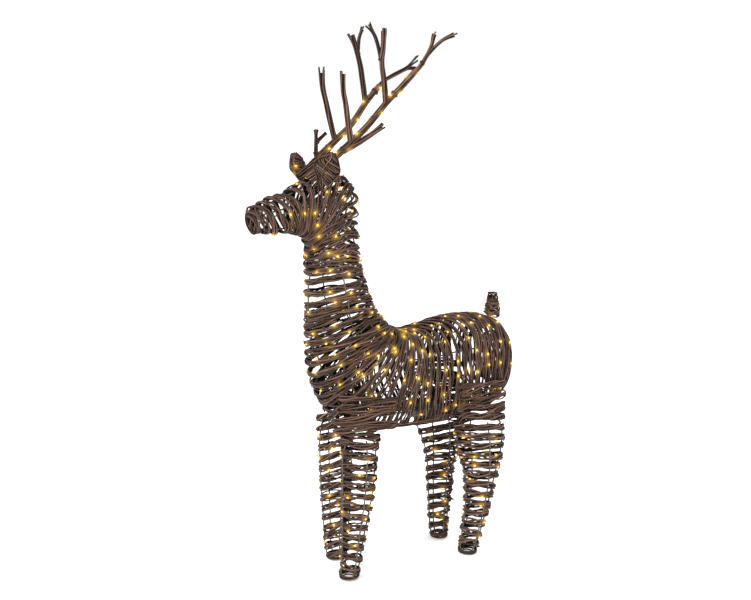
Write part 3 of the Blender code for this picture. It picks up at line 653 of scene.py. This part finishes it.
def slanted(station, turn):
    """Where a winding lies at each turn: level on the neck, and across the spine at a slant."""
    pitch = 1 / np.interp(station, *DENSITY.T)
    level = np.interp(station, (4, 9, 10.5, 12, 14, 16), (0.25, 0.25, -0.05, -0.16, -0.2, 0.25)) * pitch
    roll = np.interp(station, (12.5, 14.5, 18.5, 20.5), (0, 0.6, 0.7, 0))
    level = (level - roll) * np.sin(TAU * turn) + np.interp(station, *SLANT.T) * np.cos(TAU * turn)
    from_top = (turn + 0.5) % 1 - 0.5
    spine = np.interp(station, (15, 19, 27, 29), (0, 1, 1, 0.3)) * (np.tanh(from_top / 0.06) - 2 * from_top)
    return np.clip(station + level + 0.75 * spine, 0.15, 30)


def slim(station, turn):
    """How far the windings lie inside the skin."""
    top, middle, bottom = (np.interp(station, SLIM[:, 0], SLIM[:, k]) * MM for k in (1, 2, 3))
    up = np.cos(TAU * turn)
    return middle + np.maximum(up, 0) * (top - middle) + np.maximum(-up, 0) * (bottom - middle)


def winding(first, last, thin):
    """A winding's turns, the station at each, and how many turns it has. Thin lets out its pitch."""
    start, end = np.interp((first, last), GRID, TURNS) * thin
    turn = np.linspace(start, end, int((end - start) * 60) + 2)
    return turn, np.interp(turn / thin, TURNS, GRID), end - start


def coil(first, last, thin=1.0, lift=0.0, stray=1.8 * MM):
    turn, station, turns = winding(first, last, thin)
    away = wander(len(turn), turns * 6, stray) / STATION_STEP
    depth = lift - slim(station, turn) + wander(len(turn), turns * 6, 0.6 * MM)
    return lay(skin, slanted(station, turn) + away, turn, depth)


def saddle(bases, reach, stray, lift=0.0, rough=0.0):
    """A line to and fro over the back. It turns round at reach, a share of a turn, down each side."""
    passes = []
    for index, base in enumerate(bases):
        over = np.linspace(-reach, reach, 44) * (1 if index % 2 else -1)
        station = slanted(np.full(44, base), over) + wander(44, 5, stray)
        uneven = wander(44, 5, rough) if rough else 0.0
        passes.append(lay(skin, station, over, lift + uneven - slim(station, over)))
    return joined(*passes)


def strand(base, turn, side=1):
    """A single strand at a station. With side -1 it is the other flank's."""
    station = slanted(np.full(len(turn), base), turn) + wander(len(turn), 4, 0.05)
    return lay(skin, station, side * turn, -slim(station, side * turn))


ZONES = {
    "muzzle": (0.6, 4.0), "head": (4.0, 9.8), "neck": (9.8, 14.6), "chest": (14.6, 17.6),
    "trunk": (17.6, 27.0), "rump": (27.0, 29.6),
}  # fmt: skip
ACCESS = (20.2, 24.3)  # stations whose windings leave the belly open


def cap_strands(tubes, station, out_way, offsets, twigs, bulge):
    """Upright strands, side by side, across the open end of the body."""
    for offset in offsets:
        turns = np.array([offset, 0.5 - offset]) + rng.uniform(-0.008, 0.008, 2)
        top, bottom = skin(np.full(2, station), turns, -3 * MM)
        share = np.linspace(0, 1, 12)[:, None]
        arc = np.array(out_way) * (4 * share * (1 - share)) * bulge * (1 - 18 * offset**2)
        line = top + (bottom - top) * share + arc
        bundle(tubes, line, np.broadcast_to(out_way, arc.shape), twigs=twigs, spacing=6 * MM)


def trunk_windings(tubes, first, last):
    """Rings at both ends, and between them strands over the back, which leave the belly open."""
    bundle(tubes, *coil(first, ACCESS[0]))
    low, high = ACCESS[0] + 0.3, ACCESS[1] - 0.1
    count = int(round((high - low) * np.interp((low + high) / 2, *DENSITY.T)))
    bundle(tubes, *saddle(np.linspace(low, high, count), 0.415, 0.035, rough=0.6 * MM))
    bundle(tubes, *coil(ACCESS[1] + 0.3, last))
    for side in (1, -1):
        along = np.linspace(17.8, 26.2, 60)
        bundle(tubes, *lay(skin, along, side * 0.385 + wander(60, 8, 0.012), -3 * MM), twigs=3)
        for base in (19.8, 20.3):
            bundle(tubes, *strand(base, np.linspace(0.06, 0.41, 30), side), twigs=3)


def add_windings(lamps):
    for zone, (first, last) in ZONES.items():
        tubes = Tubes()
        if zone == "trunk":
            trunk_windings(tubes, first, last)
        else:
            twigs, flat = {"muzzle": (5, 2.4), "neck": (6, 2.9)}.get(zone, (4, 2.1))
            bundle(tubes, *coil(first, last + 0.05), twigs=twigs, flat=flat)
        if zone in ("muzzle", "head"):
            bundle(tubes, *coil(first, last, thin=0.4, lift=2.5 * MM, stray=6 * MM), twigs=2)
        if zone == "head":
            add_socket_twigs(tubes, "left")
            add_socket_twigs(tubes, "right")
        if zone == "chest":
            for station in np.linspace(13.7, 20.0, 15):
                under = np.linspace(rng.uniform(0.27, 0.33), rng.uniform(0.67, 0.73), 40)
                bundle(tubes, *strand(station, under), twigs=3, flat=1.8)
        if zone == "muzzle":
            cap_strands(tubes, 1.1, (0.0, -1.0, 0.0), (-0.1, 0.03), 2, 2 * MM)
        if zone == "rump":
            cap_strands(tubes, 29.0, (0.0, 1.0, 0.0), np.linspace(-0.15, 0.15, 9), 3, 7 * MM)
        for _ in range(1 if zone == "muzzle" else 4):
            along, turn = rng.uniform(first + 0.3, last - 0.3), rng.uniform(0, 1)
            ways = rng.uniform(-0.1, 0.1), 0.05, rng.uniform(9, 18) * MM
            loose_end(tubes, skin, along, turn, *ways, sink=slim(along, turn))
        tubes.make(f"windings_{zone}", TWIG, "deer", "twig", (f"wicker_{zone}",), lamps)


# ---- legs


def arches(name):
    """The top winding of a leg: arcs to and fro over the flank, one above the other."""
    rows = MM * np.array(ARCHES[name], float)
    passes = 6
    step = np.linspace(0, passes, 40 * passes)
    reach = 0.5 - 0.5 * np.cos(math.pi * step) * (1 - 0.12 * np.abs(wander(len(step), passes, 1.0)))
    x, y = between(rows, np.clip(reach, 0, 1) * (len(rows) - 1)).T
    height = ARCH_LOW + (ARCH_HIGH - ARCH_LOW) * step / passes + wander(len(step), 4 * passes, 2 * MM)
    height -= 0.012 * (2 * reach - 1) ** 2 * step / passes
    inward = np.interp(height, (0.34, ARCH_HIGH), (1, 5)) * MM
    across = side_of(name) * (x - inward + wander(len(step), 2 * passes, 1 * MM))
    point = np.stack([across, y, height], 1)
    out = np.stack([point[:, 0], 0.3 * (y - y.mean()), 0 * y], 1)
    return point, unit(out)


def leg_coil(name, surface, low, high, pitch, lift=0.0, stray=2.1 * MM):
    """Rings up a leg, tipped so that their near and far sides nearly line up in the main view."""
    turns = (high - low) / pitch
    turn = np.linspace(0, -turns, int(turns * 40) + 2)
    facing = side_of(name) * VIEW_TURN
    level = low - pitch * turn
    depth = np.linalg.norm(surface(level, facing) - surface(level, facing + 0.5), axis=1)
    tip = (depth * (EYE[2] - level) / EYE_AWAY - 0.5 * pitch) / 2
    height = level + tip * np.cos(TAU * (turn - facing)) + wander(len(turn), turns * 5, stray)
    middle = (surface(level, 0.0) + surface(level, 0.5)) / 2
    height += LEAN[name] * ((surface(level, turn) - middle) @ VIEW_RIGHT)
    height = np.clip(height, 10 * MM, LEG_TOP + 0.030)
    return lay(surface, height, turn, lift + wander(len(turn), turns * 5, 0.6 * MM))


def add_leg_windings(name, lamps):
    tubes = Tubes()
    surface = leg_skin(name)
    rings = leg_coil(name, surface, 10 * MM, LEG_TOP + 0.035, 23.5 * MM)
    bundle(tubes, *rings, twigs=5, radius=2.1 * MM, flat=2.6, twist=0.12, loose=1.2 * MM)
    hoof = np.linspace(0.4, 1.5, 50)
    bundle(tubes, *lay(surface, np.full(50, 7 * MM), hoof, -0.5 * MM), twigs=3, flat=1.5, loose=0.4 * MM)
    bundle(tubes, *arches(name))
    for _ in range(3):
        along, turn = rng.uniform(0.02, LEG_TOP - 0.03), rng.uniform(0, 1)
        loose_end(tubes, surface, along, turn, rng.uniform(-0.006, 0.006), 0.08, rng.uniform(10, 18) * MM)
    tubes.make(f"windings_leg_{name}", TWIG, "deer", "twig", (f"wicker_leg_{name}",), lamps)


def add_rods(tubes, lines, radius):
    for point, normal in lines:
        normal, side = across_line(point, normal)
        tubes.add(point, normal, side, radius, tone=0.5)


def ring_line(surface, along, lift, count=40):
    """A closed line round a surface, for Tubes.add with closed set."""
    turn = np.arange(count) / count
    point, normal = lay(surface, np.full(count, along), turn, lift)
    ahead = unit(np.roll(point, -1, 0) - np.roll(point, 1, 0))
    side = unit(np.cross(ahead, normal))
    return point, np.cross(side, ahead), side


def add_leg_wires(name):
    tubes = Tubes(sides=8)
    surface = leg_skin(name)
    height = np.linspace(1.5 * MM, 0.326, 40)
    foot_lift, ring_lift = -STRAND_R - 2.4 * MM, WOVEN_LIFT - WIRE_R - HOOP_R + 0.4 * MM
    depth = np.interp(height, (0.0, 0.02, 0.29, 0.32), (foot_lift, WOVEN_LIFT, WOVEN_LIFT, FRAME_LIFT))
    rods = [lay(surface, height, np.full(40, step / 4), depth) for step in range(4)]
    add_rods(tubes, rods, WIRE_R)
    for level, lift in ((1.8 * MM, foot_lift), (0.15, ring_lift), (0.314, FRAME_LIFT)):
        tubes.add(*ring_line(surface, level, lift), HOOP_R, tone=0.5, closed=True)
    tubes.make(f"wires_leg_{name}", WIRE, "deer", "wire", (f"frame_leg_{name}",))


def add_body_wires():
    tubes = Tubes(sides=8)
    along = np.linspace(15.0, 27.7, 90)
    rods = [lay(skin, along, np.full(90, step / 12), FRAME_LIFT) for step in (0, 2, 4, 8, 10)]
    belly = np.linspace(21.0, 25.4, 36)
    rods += [lay(skin, belly, np.full(36, step / 12), FRAME_LIFT) for step in (5, 7)]
    add_rods(tubes, rods, WIRE_R)
    for station in (15.3, 18.3, 21.3, 25.1, 27.4):
        tubes.add(*ring_line(skin, station, HOOP_LIFT, 72), HOOP_R, tone=0.5, closed=True)
    tubes.make("wires_trunk", WIRE, "deer", "wire", ("frame_trunk",))

    tubes = Tubes(sides=8)
    along = np.linspace(1, 14.7, 120)
    depth = np.interp(along, (10.0, 11.0, 13.4, 14.3), (FRAME_LIFT, WOVEN_LIFT, WOVEN_LIFT, FRAME_LIFT))
    rods = [lay(skin, along, np.full(120, turn), depth - slim(along, turn)) for turn in (0, 0.25, 0.5, 0.75)]
    add_rods(tubes, rods, WIRE_R)
    for station in (1.3, 5.4, 9.7, 14.3):
        tubes.add(*ring_line(skin, station, HOOP_LIFT, 56), HOOP_R, tone=0.5, closed=True)
    tubes.make("wires_neck", WIRE, "deer", "wire", ("frame_neck",))


# ---- ears, tail and antlers


def ear_surface(name):
    side = side_of(name)
    base, tip = (MM * np.array(place) * (side, 1, 1) for place in (EAR_BASE, EAR_TIPS[name]))
    return cone(base, tip, EAR_SECTIONS, np.array((0.7 * side, 0.7, 0.0)))


def tail_surface():
    return cone(MM * np.array(TAIL_BASE), MM * np.array(TAIL_TOP), TAIL_SECTIONS, np.array((0.0, 1.0, 0.0)))


def add_ear(name, lamps):
    surface = ear_surface(name)
    tubes = Tubes()
    turn = np.linspace(0, 8.4, 360)
    share = turn / 8.4 - 0.02 - 0.24 * np.cos(TAU * turn) + wander(360, 40, 0.03)
    lift = wander(360, 40, 0.8 * MM) - 1.5 * MM
    line = lay(surface, np.clip(share, -0.12, 0.99), turn, lift)
    bundle(tubes, *line, twigs=3, radius=1.8 * MM, spacing=5 * MM)
    for index in range(5):
        share = np.linspace(-0.34, 1.0, 22)
        turn = index / 5 + 0.10 * np.sin(3 * share + index) + wander(22, 4, 0.02)
        point, normal = lay(surface, share, turn, 1.5 * MM)
        point[:, 0] -= side_of(name) * 0.065 * np.maximum(-0.06 - share, 0)
        bundle(tubes, point, normal, twigs=2, radius=1.7 * MM, spacing=5 * MM)
    tubes.make(f"windings_ear_{name}", TWIG, "deer", "twig", (f"wicker_ear_{name}",), lamps)

    wires = Tubes(sides=8)
    around = np.concatenate([np.linspace(0.08, 0.88, 14), np.linspace(0.88, 0.08, 14)])
    edge = np.concatenate([np.zeros(14), np.full(14, 0.5)])
    point, _ = lay(surface, around, edge, -7 * MM)
    point, _, _ = even(point, point, 4 * MM)
    add_rods(wires, [(point, carried_normal(point))], 1.0 * MM)
    wires.make(f"wires_ear_{name}", WIRE, "deer", "wire", (f"frame_ear_{name}",))


def add_tail(lamps):
    surface = tail_surface()
    tubes = Tubes()
    turn = np.linspace(0, 5.5, 220)
    share = np.clip(0.88 * turn / 5.5 + 0.09 * np.sin(TAU * turn) + wander(220, 24, 0.05), 0, 0.92)
    line = lay(surface, share, turn, wander(220, 30, 1.2 * MM))
    bundle(tubes, *line, twigs=3, radius=1.8 * MM, spacing=5 * MM)
    for _ in range(3):
        turn = np.linspace(0, 0.8, 20) + rng.uniform(0, 1)
        rise = np.sin(np.linspace(0, math.pi, 20))
        point, normal = lay(surface, np.clip(0.93 + 0.10 * rise, 0, 1), turn, 0.0)
        point[:, 2] += 0.006 * rise
        bundle(tubes, point, normal, twigs=1, radius=1.5 * MM, spacing=4 * MM)
    tubes.make("windings_tail", TWIG, "deer", "twig", ("wicker_tail",), lamps)

    wires = Tubes(sides=8)
    point, normal = smooth_line(MM * np.linspace(TAIL_BASE, TAIL_TOP, 3))
    add_rods(wires, [(point, normal)], 1.6 * MM)
    wires.make("wires_tail", WIRE, "deer", "wire", ("frame_tail",))


def branch(tubes, rows, twigs, radius, spread, splay, shorten):
    """A bundle of straight twigs along a free line. Its tips stand apart and end at different lengths."""
    point, normal = smooth_line(rows)
    normal, side = across_line(point, normal)
    length = np.linspace(0, 1, len(point))
    for twig in range(twigs):
        ring = 0.0 if twigs > 5 and twig == 0 else 1.0
        turn = TAU * (twig / max(twigs - (twigs > 5), 1)) + 1.3 * length + wander(len(point), 4, 0.15)
        splayed = splay * np.clip((length - 0.7) / 0.3, 0, 1) ** 1.6 * rng.uniform(0.3, 1.3)
        apart = ring * spread * (1 - 0.2 * length + splayed)
        last = max(int(len(point) * (1 - rng.uniform(0, shorten))), 4)
        centre = point + normal * (apart * np.cos(turn))[:, None] + side * (apart * np.sin(turn))[:, None]
        thick = radius * rng.uniform(0.85, 1.1) * (1 - 0.2 * length)
        facing = normal * np.cos(turn)[:, None] + side * np.sin(turn)[:, None]
        facing, beside = across_line(centre, facing)
        tubes.add(centre[:last], facing[:last], beside[:last], thick[:last])


def tie(tubes, point, way, radius, turns=3):
    """A thin binding wound round a bundle."""
    way = unit(way)
    first = unit(np.cross(way, (0.2, 0.3, 0.9)))
    second = np.cross(way, first)
    angle = np.linspace(0, TAU * turns, 14 * turns)
    out = first * np.cos(angle)[:, None] + second * np.sin(angle)[:, None]
    line = point + out * radius + way * (np.linspace(-0.5, 0.5, len(angle)) * turns * 1.5 * MM)[:, None]
    normal, side = across_line(line, out)
    tubes.add(line, normal, side, 0.7 * MM, tone=0.9)


def antler_points(name, *rows):
    """Rows of an antler's tables as points."""
    return np.array((side_of(name), 1, 1)) * MM * np.array(rows, float)


def beam_line(name, start):
    """The beam of an antler, with start as its first point's distance from the antler's base."""
    base, beam = antler_points(name, ANTLER_BASE)[0], antler_points(name, *BEAMS[name])
    return np.concatenate([[base + unit(beam[1] - base) * start], beam])


def add_socket_twigs(tubes, name):
    """Twigs round an antler's socket."""
    base, ahead = antler_points(name, ANTLER_BASE, BEAMS[name][1])
    way = unit(ahead - base)
    first = unit(np.cross(way, (1.0, 0.0, 0.0)))
    second = np.cross(way, first)
    along = np.linspace(-0.032, 0.0205, 11)
    for index in range(10):
        turn = TAU * index / 10 + 14 * along
        out = first * np.cos(turn)[:, None] + second * np.sin(turn)[:, None]
        line = base + way * along[:, None] + out * (7.1 * MM + 2 * MM * (along < -0.01))[:, None]
        normal, across = across_line(line, out)
        tubes.add(line, normal, across, 1.8 * MM)


def add_antler(name, lamps):
    tubes = Tubes()
    line = beam_line(name, 0.022)
    branch(tubes, line, 8, 2.5 * MM, 5.6 * MM, 0.0, 0.12)
    for rows in TINES[name]:
        slender = rows[0][2] > 1074 or len(rows) == 2
        if rows[0] == BEAMS[name][-1]:
            rows = [0.5 * np.add(*BEAMS[name][-2:]), *rows]
        shape = (3, 2.5 * MM, 2.5 * MM, 2.2) if slender else (6, 2.45 * MM, 4.5 * MM, 0.7)
        branch(tubes, antler_points(name, *rows), *shape, 0.10)
    for rows in TINES[name]:
        start, after = antler_points(name, *rows[:2])
        tie(tubes, start + (after - start) * 0.12, after - start, 5.2 * MM)
    for index in (1, 4):
        tie(tubes, (line[index] + line[index + 1]) / 2, line[index + 1] - line[index], 7.9 * MM)
    tubes.make(f"twigs_antler_{name}", TWIG, f"antler_{name}", "twig", (f"antler_{name}",), lamps)


# ---- lamps


class LampString:
    """A thin wire and its lamps, each a drop of resin on the wire."""

    def __init__(self, name, point, normal, spacing, body, replaces):
        self.name, self.body, self.replaces = name, body, replaces
        point, normal, length = even(point, normal, 8 * MM)
        self.normal, self.side = across_line(point, normal)
        self.point = point + self.side * wander(len(point), length[-1] / 0.06, 2.5 * MM)[:, None]
        count = max(int(length[-1] / spacing), 1)
        places = (np.arange(count) + 0.5) * spacing + rng.uniform(-0.3, 0.3, count) * spacing
        self.at = np.clip(np.searchsorted(length, places), 1, len(point) - 2)
        self.lamps = self.point[self.at]

    def make(self):
        wire = Tubes(sides=5)
        wire.add(self.point, self.normal, self.side, LAMP_WIRE_R, tone=0.5)
        wire.make(f"lamp_wire_{self.name}", LAMP_WIRE, self.body, "lamps", self.replaces)
        drops = Tubes(sides=8)
        for index in self.at:
            way = unit(self.point[index + 1] - self.point[index - 1])
            share = np.linspace(-0.97, 0.97, 7)
            centre = self.point[index] + way * (share * LAMP_HALF)[:, None]
            normal, side = (np.broadcast_to(ways[index], centre.shape) for ways in (self.normal, self.side))
            drops.add(centre, normal, side, LAMP_R * np.sqrt(1 - share**2), tone=0.5)
        drops.make(f"lamp_drops_{self.name}", LAMP, self.body, "lamps")


def lamp_coil(first, last, thin):
    turn, station, turns = winding(first, last, thin)
    turn = turn + 0.37
    station = np.clip(station + wander(len(turn), turns * 5, 0.12), 0.3, 29.8)
    return lay(skin, station, turn, LAMP_LIFT - slim(station, turn))


def head_line():
    """Up from the neck to one ear, across to the other, and on to the nose."""
    turn = np.linspace(0, 1.6, 40)
    ears = [lay(ear_surface(name), 0.55 - 0.4 * turn / 1.6, turn, 3 * MM) for name in ("left", "right")]
    over, station = np.linspace(0.12, -0.12, 12), np.full(12, 5.6)
    crown = lay(skin, station, over, LAMP_LIFT - slim(station, over))
    point, normal = lamp_coil(0.8, 9.2, 0.55)
    return joined(ears[0], crown, ears[1], (point[::-1], normal[::-1]))


def trunk_line():
    turn = np.linspace(0, 1.8, 40)
    tail = lay(tail_surface(), 0.1 + 0.4 * turn, turn, 3 * MM)
    return joined(saddle(np.linspace(17.8, 28.6, 13), 0.34, 0.25, LAMP_LIFT), tail)


def antler_lamp_line(name):
    """A coil round the beam of an antler."""
    point, normal = smooth_line(beam_line(name, 0.030))
    normal, across = across_line(point, normal)
    angle = np.linspace(0, TAU * 5, len(point))
    out = normal * np.cos(angle)[:, None] + across * np.sin(angle)[:, None]
    return point + out * 8.6 * MM, out


def lamp_strings():
    strings = [
        LampString("head", *head_line(), LAMP_GAPS["head"], "deer", ("light_string_head",)),
        LampString("neck", *lamp_coil(9.8, 17.4, 0.6), LAMP_GAPS["neck"], "deer", ("light_string_neck",)),
        LampString("trunk", *trunk_line(), LAMP_GAPS["trunk"], "deer", ("light_string_trunk",)),
    ]
    for leg in LEGS:
        line = leg_coil(leg, leg_skin(leg), 0.016, 0.31, 34 * MM, 3 * MM, 5 * MM)
        names = f"leg_{leg}", (f"light_string_leg_{leg}",)
        strings.append(LampString(names[0], *line, LAMP_GAPS["leg"], "deer", names[1]))
    for side in ("left", "right"):
        names = f"antler_{side}", (f"light_string_antler_{side}",)
        line = antler_lamp_line(side)
        strings.append(LampString(names[0], *line, LAMP_GAPS["antler"], names[0], names[1]))
    return strings


# ---- the floor


def add_floor():
    mesh = bpy.data.meshes.new("floor")
    work = bmesh.new()
    bmesh.ops.create_circle(work, cap_ends=True, segments=96, radius=40.0)
    work.to_mesh(mesh)
    work.free()
    floor = bpy.data.objects.new("floor", mesh)
    material, tree, shader = new_material("floor_paper")
    paper = node(tree, "ShaderNodeTexNoise", Scale=3.0, Detail=2.0).outputs["Fac"]
    tree.links.new(ramp(tree, paper, [(0.3, 0.90), (0.7, 0.93)]), shader.inputs["Base Color"])
    shader.inputs["Roughness"].default_value = 1.0
    shader.inputs["Specular IOR Level"].default_value = 0.0
    shader.inputs["Emission Color"].default_value = (1.0, 1.0, 1.0, 1.0)
    shader.inputs["Emission Strength"].default_value = 0.35
    mesh.materials.append(material)
    floor.location = (0, 0, -0.001)
    bpy.context.scene.collection.objects.link(floor)


add_camera()
add_surroundings()
add_floor()

strings = lamp_strings()
on_deer = np.concatenate([string.lamps for string in strings if string.body == "deer"])
add_windings(on_deer)
for leg in LEGS:
    add_leg_windings(leg, on_deer)
    add_leg_wires(leg)
add_body_wires()
for word in ("left", "right"):
    add_ear(word, on_deer)
    add_antler(word, next(string.lamps for string in strings if string.body == f"antler_{word}"))
add_tail(on_deer)
for string in strings:
    string.make()
finish_cad_nodes()
